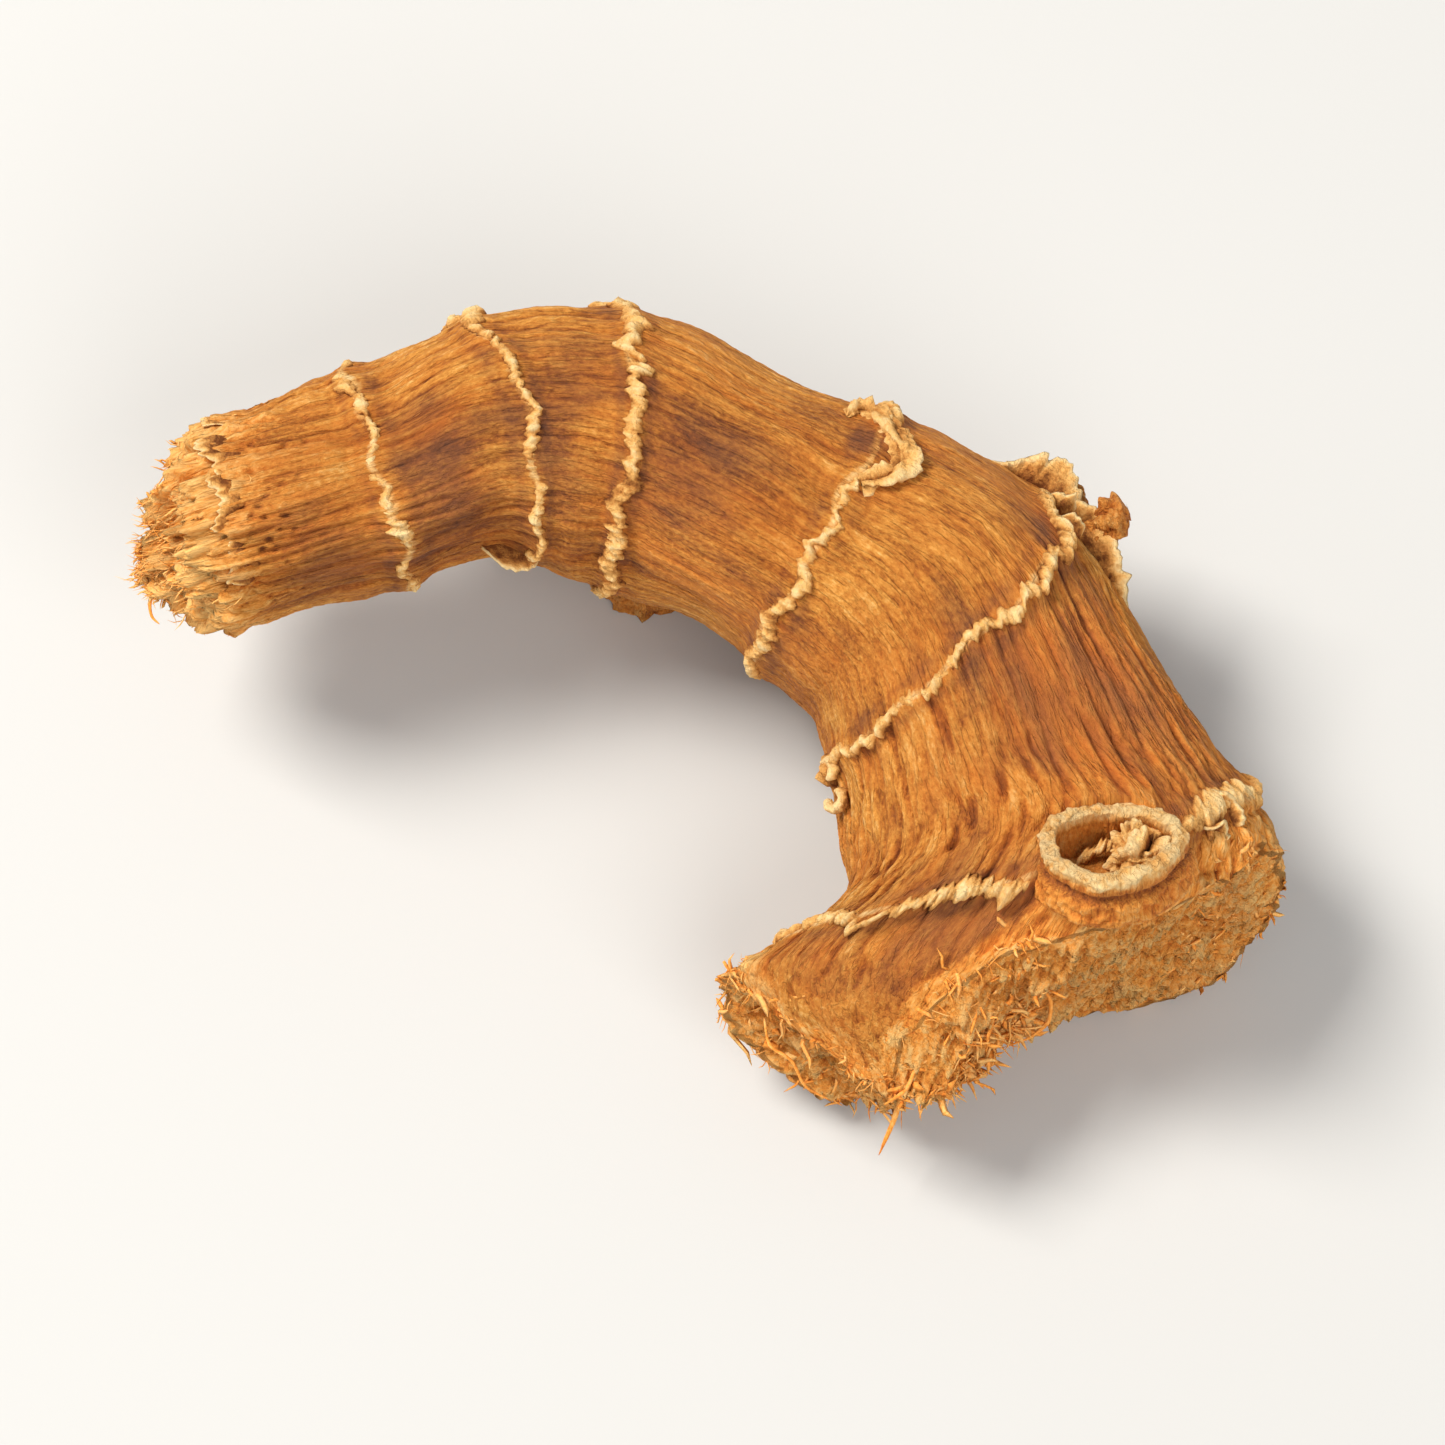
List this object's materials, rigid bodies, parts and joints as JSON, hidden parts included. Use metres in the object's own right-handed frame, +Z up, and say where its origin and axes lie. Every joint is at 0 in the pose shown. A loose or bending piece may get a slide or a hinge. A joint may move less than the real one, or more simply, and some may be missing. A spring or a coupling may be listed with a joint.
{
  "type": "dried galangal root",
  "caption": "Hook-bent piece of dried galangal rhizome with raised leaf-scar rings, lengthwise wrinkles, a hollow shoot scar and torn fibrous ends.",
  "frame": {"origin": "middle of the footprint, on the surface that the root lies on", "axes": "+X along the surface from the slender torn end to the flared one, +Y from the flared end towards the bend, +Z up, on the side with the hollow shoot scar"},
  "size_m": [0.0512, 0.0384, 0.0163],
  "materials": {
    "dried_skin": "matt, wrinkled, orange-brown"
  },
  "bodies": {
    "root": {"rhizome": "dried_skin"}
  },
  "joints": []
}
